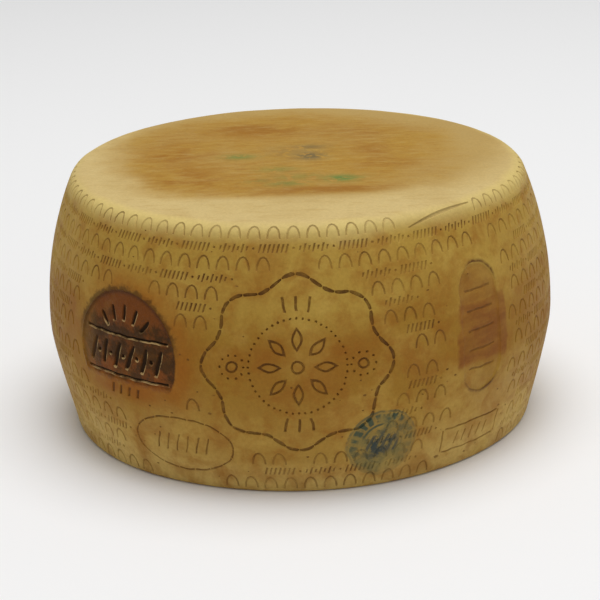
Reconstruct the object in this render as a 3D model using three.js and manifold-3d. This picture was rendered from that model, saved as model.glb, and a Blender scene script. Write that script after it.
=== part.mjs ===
// A whole wheel of aged hard cheese, lying on its flat base.
// Millimetres, +Z up. The origin is the centre of the base, and the marked front of the wheel faces -Y.
// The wheel is one solid: a squat drum with a bulging side, a rounded rim and a faintly crowned top.
// The marks on its side are pressed in square to the surface, and their floors follow the side's curve.
import * as THREE from "three";
import { mergeVertices } from "three/addons/utils/BufferGeometryUtils.js";
import Module from "manifold-3d";

// ---- The wheel ----
const GIRTH_RADIUS = 215; // at the widest point of the side
const HEIGHT = 217;
const WIDEST_AT = 94; // height of the widest point, a little under half way
const DRAWN_IN_ABOVE = 21.1; // how far the side has drawn in, half the wheel's height above that point
const DRAWN_IN_BELOW = 22.6; // the same below it, where the side soon runs down nearly straight
const TURN_BELOW = 0.25; // share of half the wheel's height in which it turns to do so
const RIM_FILLET = 13; // round edge between the side and the top
const BASE_FILLET = 4; // round edge between the side and the base
const CROWN = 1.2; // rise of the middle of the top

// ---- How finely the surface is faceted ----
const FACETS_ROUND = 104;
const SIDE_STEPS = 8;
const RIM_STEPS = 4;
const BASE_STEPS = 2;
const TOP_RINGS = 3;
const ARC_SEGMENTS = 18; // for each arc of an outline

// ---- Unevenness: slow waves round the wheel, with a whole number of them in each turn ----
// The girth's are even in number, so that opposite sides match and the wheel stays centred.
const GIRTH_WAVES = [
  { count: 2, size: 1.2, turn: 1.3 },
  { count: 4, size: 0.25, turn: 1.1 },
  { count: 6, size: 0.55, turn: 4.9 },
];
// The rim's fade out towards the base, and the top's are heights.
const RIM_WAVES = [
  { count: 1, size: 0.4, turn: 5.2 },
  { count: 2, size: 0.4, turn: 2.1 },
  { count: 3, size: 1.15, turn: 2.2 },
];
const TOP_WAVES = [
  { count: 1, size: 0.85, turn: 1.5 },
  { count: 2, size: 0.6, turn: 5.0 },
  { count: 3, size: 0.55, turn: 5.7 },
];

// ---- Marks pressed into the side ----
// Each has the place of its middle, as an angle to the right of the front in degrees and a height.
const MEDALLION = {
  angle: -0.8,
  height: 111,
  depth: 1.2,
  radius: 71,
  squat: 0.94, // height of the lobed ring as a share of its width
  lobes: 8,
  lobeDepth: 4.6,
  dashCount: 40,
  ringLine: 3,
  petals: { count: 8, inner: 12, outer: 32, width: 9 },
  petalLine: 2.2,
  petalTip: 4, // how far the line round a petal reaches in from its tips
  middleRadius: 5.5,
  fan: { count: 3, halfSpread: 18, inner: 43, outer: 55 },
  rings: { radius: 5, fromMiddle: 51 },
};
const ROUND_BRAND = {
  angle: -40.5,
  height: 108,
  depth: 1.2,
  lineDepth: 3,
  radius: 51,
  cutOffAt: -22, // height at which the round floor ends in a straight edge
  bars: { count: 6, pitch: 14, width: 5, height: 21, at: -2 },
  studRadius: 2, // of the one between each two bars
  fan: { count: 5, halfSpread: 50, inner: 27, outer: 40, width: 3.4 },
  feet: { count: 4, pitch: 9, width: 3, height: 9, at: -31 },
  rules: { length: 88, width: 2.4, at: [15.2, -18.6] },
};
const TALL_BRAND = {
  angle: 42.5,
  height: 118,
  depth: 1.2,
  lineDepth: 1.8,
  halfWidth: 22,
  halfHeight: 53,
  rules: { count: 5, pitch: 16, length: 30, width: 2.4 },
};
const OVAL = {
  angle: -27.5,
  height: 38.5,
  depth: 0.9,
  halfWidth: 45,
  halfHeight: 24,
  dashCount: 18,
  ticks: { count: 6, pitch: 9, height: 16 },
};
const TABLET = {
  angle: 41.8,
  height: 27.5,
  depth: 0.9,
  halfWidth: 34,
  halfHeight: 10.5,
  corner: 0.03, // share of each side left bare at a corner
  ticks: { count: 5, pitch: 9, height: 11 },
};
const LINE = 2.4; // width of a pressed line
const FINE_LINE = 1.8;
const RING_SHARE = 0.9; // share of a dashed ring that its dashes fill
const OVAL_SHARE = 0.96;
const TICK_SLANT = 0.3; // how far a slanted tick leans, as a share of its height
const CUTTER_DEPTH = 60; // a cutter's length, which only has to reach through the side

const { cos, sin, hypot, PI } = Math;
const { lerp, degToRad } = THREE.MathUtils;
const wasm = await Module();
wasm.setup();

// ---- The wheel's form ----

const FULL_TURN_BELOW = hypot(1, TURN_BELOW) - TURN_BELOW;

// The side is a parabola above its widest point, and a curve that straightens out below it.
function sideRadius(z) {
  const away = (z - WIDEST_AT) / (HEIGHT / 2);
  if (away > 0) return GIRTH_RADIUS - DRAWN_IN_ABOVE * away ** 2;
  return GIRTH_RADIUS - (DRAWN_IN_BELOW * (hypot(away, TURN_BELOW) - TURN_BELOW)) / FULL_TURN_BELOW;
}

// Angle above the horizontal at which the side faces outwards at height z.
function sideFacing(z) {
  const away = (z - WIDEST_AT) / (HEIGHT / 2);
  if (away > 0) return Math.atan((2 * DRAWN_IN_ABOVE * away) / (HEIGHT / 2));
  const slope = away / hypot(away, TURN_BELOW) / FULL_TURN_BELOW;
  return Math.atan((DRAWN_IN_BELOW * slope) / (HEIGHT / 2));
}

// The arc that joins the side to the flat face at faceHeight, from the side to the face.
// up is 1 at the top of the wheel and -1 at its base.
function roundedEdge(faceHeight, fillet, up, steps) {
  const middleZ = faceHeight - up * fillet;
  let touchZ = middleZ;
  // Where the arc leaves the side depends on how the side faces there, and a few passes settle it.
  for (let pass = 0; pass < 8; pass++) touchZ = middleZ + fillet * sin(sideFacing(touchZ));
  const from = sideFacing(touchZ);
  const to = (up * PI) / 2;
  const middleR = sideRadius(touchZ) - fillet * cos(from);
  return Array.from({ length: steps + 1 }, (_, i) => {
    const a = lerp(from, to, i / steps);
    return new THREE.Vector2(middleR + fillet * cos(a), middleZ + fillet * sin(a));
  });
}

// Half of the wheel's section, from the middle of the base round to the middle of the top.
function section() {
  const base = roundedEdge(0, BASE_FILLET, -1, BASE_STEPS).reverse();
  const rim = roundedEdge(HEIGHT, RIM_FILLET, 1, RIM_STEPS);
  const lowest = base.at(-1).y;
  const highest = rim[0].y;
  const side = Array.from({ length: SIDE_STEPS - 1 }, (_, i) => {
    const z = lerp(lowest, highest, (i + 1) / SIDE_STEPS);
    return new THREE.Vector2(sideRadius(z), z);
  });
  const flat = rim.at(-1).x;
  const top = Array.from({ length: TOP_RINGS }, (_, i) => {
    const share = 1 - (i + 1) / TOP_RINGS;
    return new THREE.Vector2(flat * share, HEIGHT + CROWN * (1 - share ** 2));
  });
  return [new THREE.Vector2(0, 0), ...base, ...side, ...rim, ...top];
}

function waveSum(waves, angle) {
  return waves.reduce((sum, { count, size, turn }) => sum + size * cos(count * angle + turn), 0);
}

// Moves a point of the true round form to where the uneven wheel has it. The base stays flat.
function settle(point) {
  const angle = Math.atan2(point.x, -point.y);
  const fromMiddle = hypot(point.x, point.y) / GIRTH_RADIUS;
  const rimShare = (point.z / HEIGHT) ** 3;
  const wider = 1 + (waveSum(GIRTH_WAVES, angle) + waveSum(RIM_WAVES, angle) * rimShare) / GIRTH_RADIUS;
  const taller = 1 + (waveSum(TOP_WAVES, angle) * fromMiddle ** 2) / HEIGHT;
  return point.set(point.x * wider, point.y * wider, point.z * taller);
}

// Applies a change to each point of a geometry.
function reshape(geometry, change) {
  const places = geometry.attributes.position;
  const point = new THREE.Vector3();
  for (let i = 0; i < places.count; i++) {
    change(point.fromBufferAttribute(places, i));
    places.setXYZ(i, point.x, point.y, point.z);
  }
  return geometry;
}

// The wheel with its side drawn in by a depth, which is 0 for the wheel itself.
function drum(depth) {
  const outline = section().map((p) => new THREE.Vector2(Math.max(0, p.x - depth), p.y));
  return solidOf(new THREE.LatheGeometry(outline, FACETS_ROUND).rotateX(PI / 2));
}

// ---- Between geometries and solids ----

// A closed geometry of the true round wheel as a solid of the uneven one.
function solidOf(geometry) {
  geometry.deleteAttribute("normal");
  geometry.deleteAttribute("uv");
  const merged = mergeVertices(reshape(geometry, settle), 1e-3);
  const triVerts = merged.index.array;
  const vertProperties = merged.attributes.position.array;
  return new wasm.Manifold(new wasm.Mesh({ numProp: 3, vertProperties, triVerts }));
}

function joined(solids) {
  return solids.reduce((all, solid) => all.add(solid));
}

function geometryOf(solid) {
  const { vertProperties, triVerts } = solid.getMesh();
  const geometry = new THREE.BufferGeometry();
  geometry.setAttribute("position", new THREE.BufferAttribute(vertProperties, 3));
  geometry.setIndex(new THREE.BufferAttribute(triVerts, 1));
  return geometry;
}

// ---- Outlines, in millimetres along the side and up it, from the middle of their mark ----

function polygon(points) {
  return new THREE.Shape(points.map(([x, y]) => new THREE.Vector2(x, y)));
}

// A level bar, at some height above its mark's middle.
function rectangle(width, height, at) {
  const [low, high] = [at - height / 2, at + height / 2];
  return polygon([[-width / 2, low], [width / 2, low], [width / 2, high], [-width / 2, high]]);
}

// A straight strip of some width between two places on a curve.
function strip(curve, from, to, width) {
  const nudge = 1e-3;
  const edge = (side) =>
    [from, to].map((t) => {
      const [ax, ay] = curve(t - nudge);
      const [bx, by] = curve(t + nudge);
      const scale = (side * width) / 2 / hypot(bx - ax, by - ay);
      return [(ax + bx) / 2 - (by - ay) * scale, (ay + by) / 2 + (bx - ax) * scale];
    });
  return polygon([...edge(-1), ...edge(1).reverse()]);
}

// Strips along a closed curve, each filling a share of its step.
function dashes(curve, count, share, width) {
  const turn = (2 * PI) / count;
  return Array.from({ length: count }, (_, i) => strip(curve, i * turn, (i + share) * turn, width));
}

// A row of slanted ticks, at some height above its mark's middle.
function tickRow({ count, pitch, width = FINE_LINE, height, at = 0 }) {
  const lean = (TICK_SLANT * height) / 2;
  const [low, high] = [at - height / 2, at + height / 2];
  return Array.from({ length: count }, (_, i) => {
    const x = (i - (count - 1) / 2) * pitch;
    const [left, right] = [x - width / 2, x + width / 2];
    return polygon([[left - lean, low], [right - lean, low], [right + lean, high], [left + lean, high]]);
  });
}

// Ticks that point at the middle of their mark, spread evenly about a direction in degrees.
function fanOf({ count, halfSpread, inner, outer, width = LINE }, direction) {
  return Array.from({ length: count }, (_, i) => {
    const a = degToRad(direction + halfSpread * ((2 * i + 1) / count - 1));
    return strip((t) => [t * cos(a), t * sin(a)], inner, outer, width);
  });
}

function oval(halfWidth, halfHeight) {
  return (t) => [halfWidth * cos(t), halfHeight * sin(t)];
}

// An eight-sided disc, beside its mark's middle and above it.
function disc(radius, aside, above = 0) {
  const corners = Array.from({ length: 8 }, (_, i) => oval(radius, radius)((i * PI) / 4));
  return polygon(corners.map(([x, y]) => [x + aside, y + above]));
}

// A pointed leaf that grows away from the middle of its mark.
function petal({ inner, outer, width }, direction) {
  const steps = 3;
  const edge = (side) =>
    Array.from({ length: steps + 1 }, (_, i) => {
      const along = lerp(inner, outer, i / steps);
      const across = (side * width * sin((PI * i) / steps)) / 2;
      return [along, across];
    });
  const points = [...edge(-1), ...edge(1).slice(1, -1).reverse()];
  const [c, s] = [cos(direction), sin(direction)];
  return polygon(points.map(([x, y]) => [x * c - y * s, x * s + y * c]));
}

// ---- The marks ----
// Each gives the outlines that are pressed in. Those left standing within them, and those pressed deeper, are
// given apart.

// A lobed ring of dashes round a rosette, with a fan of ticks above and below it and a ring on each side.
// The petals and rings are lines round an inside that stays where it was.
function medallionOutlines(mark) {
  const { radius, squat, lobes, lobeDepth, dashCount, ringLine } = mark;
  const { petals, petalLine, petalTip, middleRadius, fan, rings } = mark;
  const lobed = (t) => {
    const r = radius + lobeDepth * cos(lobes * t);
    return [r * cos(t), squat * r * sin(t)];
  };
  const insidePetals = {
    inner: petals.inner + petalTip,
    outer: petals.outer - petalTip,
    width: petals.width - 2 * petalLine,
  };
  const rosette = (size) =>
    Array.from({ length: petals.count }, (_, i) => petal(size, (2 * PI * i) / petals.count));
  const discs = (line) => [
    disc(middleRadius - line, 0),
    disc(rings.radius - line, -rings.fromMiddle),
    disc(rings.radius - line, rings.fromMiddle),
  ];
  const ring = dashes(lobed, dashCount, RING_SHARE, ringLine);
  return {
    pressed: [...ring, ...rosette(petals), ...discs(0), ...fanOf(fan, 90), ...fanOf(fan, -90)],
    standing: [...rosette(insidePetals), ...discs(petalLine)],
  };
}

// A round floor burned into the rind and cut off straight below, with deep bars, studs, a fan and two rules
// in it, and a row of small bars under it.
function roundBrandOutlines({ radius, cutOffAt, bars, studRadius, fan, feet, rules }) {
  const from = Math.asin(cutOffAt / radius);
  const floor = new THREE.Shape().absarc(0, 0, radius, from, PI - from);
  const lines = rules.at.map((y) => rectangle(rules.length, rules.width, y));
  const studs = Array.from({ length: bars.count - 1 }, (_, i) => {
    return disc(studRadius, (i + 1 - bars.count / 2) * bars.pitch, bars.at);
  });
  const deeper = [...tickRow(bars), ...studs, ...fanOf(fan, 90), ...lines];
  return { pressed: [floor, ...tickRow(feet)], deeper };
}

// An upright panel with round ends, lightly burned, with lines across it.
function tallBrandOutlines({ halfWidth, halfHeight, rules }) {
  const straight = halfHeight - halfWidth;
  const panel = new THREE.Shape()
    .absarc(0, straight, halfWidth, 0, PI)
    .absarc(0, -straight, halfWidth, PI, 2 * PI);
  const lines = Array.from({ length: rules.count }, (_, i) => {
    const at = (i - (rules.count - 1) / 2) * rules.pitch;
    return rectangle(rules.length, rules.width, at);
  });
  return { pressed: [panel], deeper: lines };
}

// A dashed oval round a row of ticks.
function ovalOutlines({ halfWidth, halfHeight, dashCount, ticks }) {
  const ring = dashes(oval(halfWidth, halfHeight), dashCount, OVAL_SHARE, FINE_LINE);
  return { pressed: [...ring, ...tickRow(ticks)] };
}

// A rectangle of four lines round a row of ticks.
function tabletOutlines({ halfWidth, halfHeight, corner, ticks }) {
  const turns = [[-1, -1], [1, -1], [1, 1], [-1, 1]];
  const corners = turns.map(([x, y]) => [x * halfWidth, y * halfHeight]);
  const sides = corners.map(([ax, ay], i) => {
    const [bx, by] = corners[(i + 1) % corners.length];
    return strip((t) => [lerp(ax, bx, t), lerp(ay, by, t)], corner, 1 - corner, FINE_LINE);
  });
  return { pressed: [...sides, ...tickRow(ticks)] };
}

// An outline as a prism that stands square to the side, at its mark's place.
function prism(outline, { angle, height }) {
  const geometry = new THREE.ExtrudeGeometry(outline, {
    depth: CUTTER_DEPTH,
    bevelEnabled: false,
    curveSegments: ARC_SEGMENTS,
  });
  // A length along the side's curve becomes a length along the chord that faces the cutter.
  reshape(geometry, (p) => p.setX(GIRTH_RADIUS * sin(p.x / GIRTH_RADIUS)));
  const turn = degToRad(angle);
  const along = new THREE.Vector3(cos(turn), sin(turn), 0);
  const out = new THREE.Vector3(sin(turn), -cos(turn), 0);
  const place = new THREE.Matrix4().makeBasis(along, new THREE.Vector3(0, 0, 1), out);
  place.setPosition(out.multiplyScalar(GIRTH_RADIUS - CUTTER_DEPTH / 2).setZ(height));
  return solidOf(geometry.applyMatrix4(place));
}

// What a mark takes out of the wheel: its prisms, down to floors that follow the side.
function impression(mark, { pressed, standing = [], deeper = [] }) {
  const cutTo = (depth, outlines) => {
    return joined(outlines.map((outline) => prism(outline, mark))).subtract(drum(depth));
  };
  const cut = cutTo(mark.depth, pressed);
  if (deeper.length > 0) return cut.add(cutTo(mark.lineDepth, deeper));
  return standing.reduce((left, outline) => left.subtract(prism(outline, mark)), cut);
}

// ---- The whole ----

const MARKS = [
  [MEDALLION, medallionOutlines],
  [ROUND_BRAND, roundBrandOutlines],
  [TALL_BRAND, tallBrandOutlines],
  [OVAL, ovalOutlines],
  [TABLET, tabletOutlines],
];

function markedWheel() {
  const takeOut = (left, [mark, outlinesOf]) => left.subtract(impression(mark, outlinesOf(mark)));
  return MARKS.reduce(takeOut, drum(0));
}

const wheel = new THREE.Mesh(
  geometryOf(markedWheel()),
  new THREE.MeshStandardMaterial({ color: 0xc09a50, roughness: 0.55, metalness: 0 }),
);
wheel.name = "cheese_wheel";

const part = new THREE.Group();
part.add(wheel);

export default part;
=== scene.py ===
"""A whole wheel of aged hard cheese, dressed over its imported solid.

The rind is one mesh. Its side is first drawn flat, as a strip unrolled from the wheel, where every pressed
mark is a closed outline with a depth. The strip is triangulated, then wrapped round the wheel's section.
Section, unevenness and large marks are the solid's own, so shapes are in millimetres, as they are there.
The material, the lights and the camera are in metres.
"""

from math import asin, ceil, cos, hypot, pi, radians, sin, sqrt

import bpy
import numpy as np
from mathutils import Matrix, Vector, noise
from mathutils.geometry import delaunay_2d_cdt


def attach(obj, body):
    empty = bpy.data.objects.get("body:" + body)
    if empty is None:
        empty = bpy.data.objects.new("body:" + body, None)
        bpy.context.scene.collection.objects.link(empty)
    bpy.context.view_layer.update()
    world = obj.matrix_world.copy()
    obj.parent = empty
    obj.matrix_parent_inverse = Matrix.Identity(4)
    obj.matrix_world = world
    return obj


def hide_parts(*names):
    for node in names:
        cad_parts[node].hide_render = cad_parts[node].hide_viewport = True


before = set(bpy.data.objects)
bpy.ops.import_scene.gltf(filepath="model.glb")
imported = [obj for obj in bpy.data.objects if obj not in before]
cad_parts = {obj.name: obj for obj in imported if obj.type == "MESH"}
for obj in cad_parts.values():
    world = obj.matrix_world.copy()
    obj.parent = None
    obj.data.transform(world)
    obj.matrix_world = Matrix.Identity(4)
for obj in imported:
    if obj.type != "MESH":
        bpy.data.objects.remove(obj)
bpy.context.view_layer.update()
MM = 0.001

# ---- The wheel's form ----
GIRTH_RADIUS = 215.0
HEIGHT = 217.0
WIDEST_AT = 94.0
DRAWN_IN_ABOVE = 21.1  # how far the side has drawn in, half the wheel's height above its widest point
DRAWN_IN_BELOW = 22.6  # the same below it, where the side soon runs down nearly straight
TURN_BELOW = 0.25  # share of half the wheel's height in which it turns to do so
RIM_FILLET = 13.0
BASE_FILLET = 4.0
CROWN = 1.2
# Slow waves round the wheel: how many in a turn, how high, and how far turned.
GIRTH_WAVES = ((2, 1.2, 1.3), (4, 0.25, 1.1), (6, 0.55, 4.9))
RIM_WAVES = ((1, 0.4, 5.2), (2, 0.4, 2.1), (3, 1.15, 2.2))
TOP_WAVES = ((1, 0.85, 1.5), (2, 0.6, 5.0), (3, 0.55, 5.7))

# ---- The surface's grid ----
AROUND = 2 * pi * GIRTH_RADIUS
SEAM = -100.0 * pi / 180 * GIRTH_RADIUS  # where the strip starts, to the left of the front
COLUMNS = 320
ROW_STEP = 4.5
FILLET_ROWS = 8
TOP_STEP = 4.0
BASE_STEP = 14.0

# ---- Marks: angle to the right of the front in degrees, and height, of each one's middle ----
MEDALLION = (-0.8, 111.0)
ROUND_BRAND = (-40.5, 108.0)
TALL_BRAND = (42.5, 118.0)
OVAL = (-27.5, 38.5)
TABLET = (41.8, 27.5)
STAMP = (17.2, 39.5)
STAMP_SPOKES = 22

# ---- The medallion ----
LOBED_RADIUS = 71.0
LOBES = 8
LOBE_DEPTH = 4.6
SQUAT = 0.94  # height of the lobed ring as a share of its width
STITCHES = dict(count=40, share=0.95)  # share: how much of the ring they fill
PETALS = 8
PETAL_ENDS = (12.0, 32.0)
PETAL_WIDTH = 9.0
PETAL_TIP = 4.0  # how far the line round a petal reaches in from its tips
SMALL_RINGS = ((5.5, 0.0), (5.0, -51.0), (5.0, 51.0))  # radius and middle
BEAD = 1.2
BEAD_RINGS = ((10, 9.5, -51.0), (10, 9.5, 51.0), (48, 38.0, 0.0))  # count, radius and middle
MEDALLION_FAN = dict(count=3, half_spread=18, inner=43, outer=55)

# ---- The two brands, the oval and the tablet ----
ROUND_BRAND_RADIUS = 51.0
ROUND_BRAND_CUT = -22.0  # height at which the round floor ends in a straight edge
BAR_SHAPES = ((0.36, 0.3), (0.22, -0.3), (0.31, 0.3), (0.38, -0.2), (0.24, 0.3), (0.33, -0.3))  # lean, bow
BAR_PITCH = 14.0
BAR_WIDTH = 4.8
BAR_HEIGHT = 21.0
BARS_AT = -2.0
STUD = 2.0
BRAND_FAN = dict(count=5, half_spread=50, inner=27, outer=40, width=3.8)
BRAND_FEET = dict(count=4, pitch=9, height=9, width=3, at=-31)
BRAND_RULE = 88.0
BRAND_RULES_AT = (15.2, -18.6)
TALL_BRAND_HALF = (22.0, 53.0)
TALL_BRAND_ROOM = (60.0, 130.0)
TALL_RULES = dict(count=5, pitch=16.0)
TALL_RULE = 30.0
OVAL_HALF = (45.0, 24.0)
OVAL_DASHES = dict(count=18, share=0.94)
OVAL_TICKS = dict(count=6, pitch=9, height=16)
TABLET_SIZE = (68.0, 21.0)
TABLET_SIDE = (0.03, 0.97)  # where along a side its line starts and ends
TABLET_TICKS = dict(count=5, pitch=9, height=11)

# ---- The crease over the rim: angle and height of its two ends ----
CREASE = ((26.5, 206.0), (46.0, 213.5))
CREASE_BEND = 2.4  # 1 would be a straight rise from end to end
CREASE_WIDTHS = (1.4, 3.6)  # at its ends and in its middle

# ---- How marks are pressed ----
RING_LINE = 3.0
LINE = 2.4
PETAL_LINE = 2.2
FINE_LINE = 1.8
FIELD_LINE = 2.0
TICK_SLANT = 0.3
# Width along a burned stroke and along a stitch of the lobed ring, as shares of its own.
STROKE = (0.7, 0.93, 1.0, 1.0, 0.96, 0.9, 0.66)
STITCH = (0.6, 0.9, 1.0, 1.0, 1.0, 1.0, 0.9, 0.6)
MARK_DEPTH = 1.2  # of the large marks and of the brands' wide floors
BURNED_DEPTH = 3.0  # of the lines in the round floor
TOASTED_DEPTH = 1.8  # of the lines across the tall panel
SHALLOW_DEPTH = 0.9  # of the oval, the tablet and the crease
WALL = 0.6  # width of a pressed line's sloping side
FLOOR_WALL = 0.96
SHOULDER = 2.5  # width of the rounded edge round a wide pressed floor
SHOULDER_SHARE = 0.15  # share of the floor's depth that it rounds off
LIP = 0.9  # width of the worn edge along a line in such a floor
LIP_DEPTH = 0.1  # how far that edge has worn down
HIGHLIGHT_SIDE = (0.5, -0.85)  # the side of such a line, right and up, whose edge is painted lighter as a highlight
BURNED_SIDE = (0.45, 0.9)  # the side of the tall panel whose edge is burned most
WEAR = ((9.0, 0.9, 0), (2.5, 0.25, 5))  # slow and fine shifts of an outline: length, size and layer
CELL = 0.5  # size of a cell in the maps of what is taken on the strip
CLEAR = 1.0  # room kept round a mark
MARK_ROOM = 4.0  # room between a mark and the fine pattern

# ---- The fine pattern between the large marks ----
FIELD_TOP = 200.0
FIELD_PITCH = 22.5
FIELD_ROWS = 9
GROUPS_ROUND = 40
TICKS_IN_GROUP = 7
TICK_PITCH = 3.8
TICK_HEIGHT = 7.0
ARCHES_PER_GROUP = 2
ARCH_HALF_WIDTH = 5.3
ARCH_HEIGHT = 10.4
SHORT_TICK = 0.55  # as a share of a long tick's height
DOT = 1.3
FIELD_DEPTHS = (0.45, 0.8)
TICK_TONE, ARCH_TONE = 0.8, 0.62
FAINT_PATCH = 55.0  # size of the patches where it is fainter or stronger
PITS = 420
HOLLOWS = ((70.0, 0.5), (32.0, 0.25), (13.0, 0.12))  # length and depth of the rind's unevenness


def colour(red, green, blue):
    """A colour given as it shows on a screen, 0 to 255, as the shader wants it."""
    def linear(c):
        c /= 255
        return c / 12.92 if c <= 0.04045 else ((c + 0.055) / 1.055) ** 2.4
    return (linear(red), linear(green), linear(blue), 1.0)


def soft_step(value, low, high):
    t = np.clip((value - low) / (high - low), 0, 1)
    return t * t * (3 - 2 * t)


# ==== The wheel's form ====

FULL_TURN_BELOW = hypot(1, TURN_BELOW) - TURN_BELOW


def side_radius(z):
    away = (z - WIDEST_AT) / (HEIGHT / 2)
    above = DRAWN_IN_ABOVE * away ** 2
    below = DRAWN_IN_BELOW * (np.hypot(away, TURN_BELOW) - TURN_BELOW) / FULL_TURN_BELOW
    return GIRTH_RADIUS - np.where(away > 0, above, below)


def side_facing(z):
    """Angle above the horizontal at which the side faces outwards at a height."""
    away = (z - WIDEST_AT) / (HEIGHT / 2)
    above = 2 * DRAWN_IN_ABOVE * away
    below = DRAWN_IN_BELOW * away / np.hypot(away, TURN_BELOW) / FULL_TURN_BELOW
    return np.arctan(np.where(away > 0, above, below) / (HEIGHT / 2))


def rounded_edge(face_height, fillet, up, steps=24):
    """Radius, height and facing along the arc from the side to a flat face.

    up is 1 at the top and -1 at the base."""
    middle_z = face_height - up * fillet
    touch_z = middle_z
    for _ in range(8):
        touch_z = middle_z + fillet * sin(side_facing(touch_z))
    start = side_facing(touch_z)
    middle_r = side_radius(touch_z) - fillet * cos(start)
    a = np.linspace(start, up * pi / 2, steps + 1)
    return np.column_stack([middle_r + fillet * np.cos(a), middle_z + fillet * np.sin(a), a])


def section():
    """Radius, height, facing and length so far, from the base's flat edge up to the top's."""
    base = rounded_edge(0.0, BASE_FILLET, -1)[::-1]
    rim = rounded_edge(HEIGHT, RIM_FILLET, 1)
    z = np.linspace(base[-1, 1], rim[0, 1], 200)[1:-1]
    side = np.column_stack([side_radius(z), z, side_facing(z)])
    rows = np.vstack([base, side, rim])
    steps = np.hypot(*np.diff(rows[:, :2], axis=0).T)
    return (*rows.T, np.hstack([[0.0], np.cumsum(steps)])), (len(base) - 1, len(base) + len(side))


(RADII, HEIGHTS, FACINGS, LENGTHS), (BASE_ROW, RIM_ROW) = section()
SIDE_LENGTH = LENGTHS[-1]
TOP_RADIUS = RADII[-1]
BASE_RADIUS = RADII[0]


def up_to(height):
    """Length along the section up to a height."""
    return np.interp(height, HEIGHTS, LENGTHS)


def along_to(angle):
    """Length along the strip to an angle in degrees."""
    return radians(angle) * GIRTH_RADIUS


def wave_sum(waves, angle):
    return sum(size * np.cos(count * angle + turn) for count, size, turn in waves)


def settle(points):
    """Moves points of the true round form to where the uneven wheel has them. The base stays flat."""
    x, y, z = points.T
    angle = np.arctan2(x, -y)
    from_middle = np.hypot(x, y) / GIRTH_RADIUS
    rim_wave = wave_sum(RIM_WAVES, angle) * (z / HEIGHT) ** 3
    wider = 1 + (wave_sum(GIRTH_WAVES, angle) + rim_wave) / GIRTH_RADIUS
    taller = 1 + wave_sum(TOP_WAVES, angle) * from_middle ** 2 / HEIGHT
    return np.column_stack([x * wider, y * wider, z * taller])


def wrap(spots, depths):
    """Spots on the strip, sunk by their depths, as points on the wheel."""
    along, up = spots.T
    facing = np.interp(up, LENGTHS, FACINGS)
    r = np.interp(up, LENGTHS, RADII) - depths * np.cos(facing)
    z = np.interp(up, LENGTHS, HEIGHTS) - depths * np.sin(facing)
    turn = along / GIRTH_RADIUS
    return np.column_stack([r * np.sin(turn), -r * np.cos(turn), z])


# ==== Outlines, in millimetres along the side and up it, from their mark's middle ====

def rectangle(width, height, at=0.0):
    w, h = width / 2, height / 2
    return np.array([(-w, at - h), (w, at - h), (w, at + h), (-w, at + h)])


def strip(curve, start, end, width, steps=1):
    """A strip along a curve, of one width or of a width for each step's end, with slightly pointed ends."""
    t = np.linspace(start, end, steps + 1)
    nudge = 1e-4
    here, ahead = (np.array([curve(v + d) for v in t]) for d in (-nudge, nudge))
    forward = ahead - here
    forward /= np.hypot(*forward.T)[:, None]
    widths = np.full(steps + 1, width) if np.isscalar(width) else width
    aside = np.column_stack([-forward[:, 1], forward[:, 0]]) * widths[:, None] / 2
    middle = (here + ahead) / 2
    tip = forward[[0, -1]] * widths[[0, -1], None] / 10 * [[-1], [1]]
    return np.vstack([middle - aside, middle[-1:] + tip[1:], (middle + aside)[::-1], middle[:1] + tip[:1]])


def dashes(curve, count, share, width, steps=2):
    """Strips along a closed curve, each filling a share of its step."""
    turn = 2 * pi / count
    return [strip(curve, i * turn, (i + share) * turn, width, steps) for i in range(count)]


def across(count, pitch):
    """Places in a row about its middle."""
    return [(i - (count - 1) / 2) * pitch for i in range(count)]


def tick(width, height):
    """An upright line that leans to the right."""
    lean = TICK_SLANT * height / 2
    return rectangle(width, height) + [[-lean, 0], [-lean, 0], [lean, 0], [lean, 0]]


def tick_row(count, pitch, height, width=FINE_LINE, at=0.0):
    return [tick(width, height) + (x, at) for x in across(count, pitch)]


def stroke(curve, start, end, width):
    """A line with rounded ends."""
    return strip(curve, start, end, width * np.array(STROKE), steps=len(STROKE) - 1)


def fan_of(count, half_spread, inner, outer, direction, width=LINE, shape=strip):
    """Ticks that point at their mark's middle, spread evenly about a direction in degrees."""
    def ray(a):
        return shape(lambda t: (t * cos(a), t * sin(a)), inner, outer, width)
    turns = [direction + half_spread * ((2 * i + 1) / count - 1) for i in range(count)]
    return [ray(radians(turn)) for turn in turns]


def disc(radius, x=0.0, y=0.0, sides=14):
    t = np.arange(sides) * 2 * pi / sides
    return np.column_stack([x + radius * np.cos(t), y + radius * np.sin(t)])


def petal(inner, outer, width, direction, steps=7):
    t = np.linspace(0, 1, steps + 1)
    x = inner + (outer - inner) * t
    y = np.sin(pi * t) * width / 2
    leaf = np.vstack([np.column_stack([x, -y]), np.column_stack([x, y])[-2:0:-1]])
    c, s = cos(direction), sin(direction)
    return leaf @ np.array([[c, s], [-s, c]])


def outward(outline):
    """The two directions out of an outline at each corner, square to the sides that meet there."""
    before = outline - np.roll(outline, 1, axis=0)
    after = np.roll(before, -1, axis=0)
    return [np.column_stack([e[:, 1], -e[:, 0]]) / np.hypot(*e.T)[:, None] for e in (before, after)]


def grown(outline, by):
    """An outline pushed outwards, or inwards by a negative amount, corner by corner."""
    before, after = outward(outline)
    spread = 1 + (before * after).sum(axis=1)
    return outline + by * (before + after) / np.maximum(spread, 0.35)[:, None]


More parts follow.
